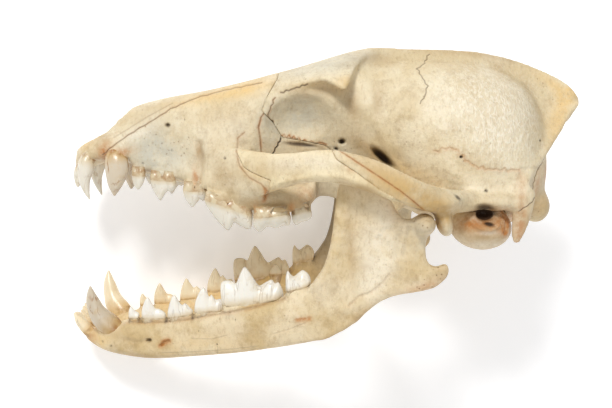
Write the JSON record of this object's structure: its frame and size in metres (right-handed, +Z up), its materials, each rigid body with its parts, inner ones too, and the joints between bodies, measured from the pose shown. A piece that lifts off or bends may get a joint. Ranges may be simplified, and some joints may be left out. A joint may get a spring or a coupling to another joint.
{
  "type": "dog skull",
  "caption": "Dog skull with the lower jaw open, life size, lying on its right side with its left side up.",
  "frame": {"origin": "centre of the underside of the bounding box, on the floor that the skull lies on", "axes": "+X towards the back of the head, +Y towards the crown, +Z up, out of the skull's left side"},
  "size_m": [0.195, 0.122, 0.1047],
  "materials": {
    "bone": "satin",
    "jaw_bone": "satin"
  },
  "bodies": {
    "root": {"braincase": "bone", "muzzle": "bone", "cheekbone_left": "bone", "cheekbone_right": "bone", "ear_capsule_left": "bone", "ear_capsule_right": "bone", "mandible_left": "jaw_bone", "mandible_right": "jaw_bone"}
  },
  "joints": []
}
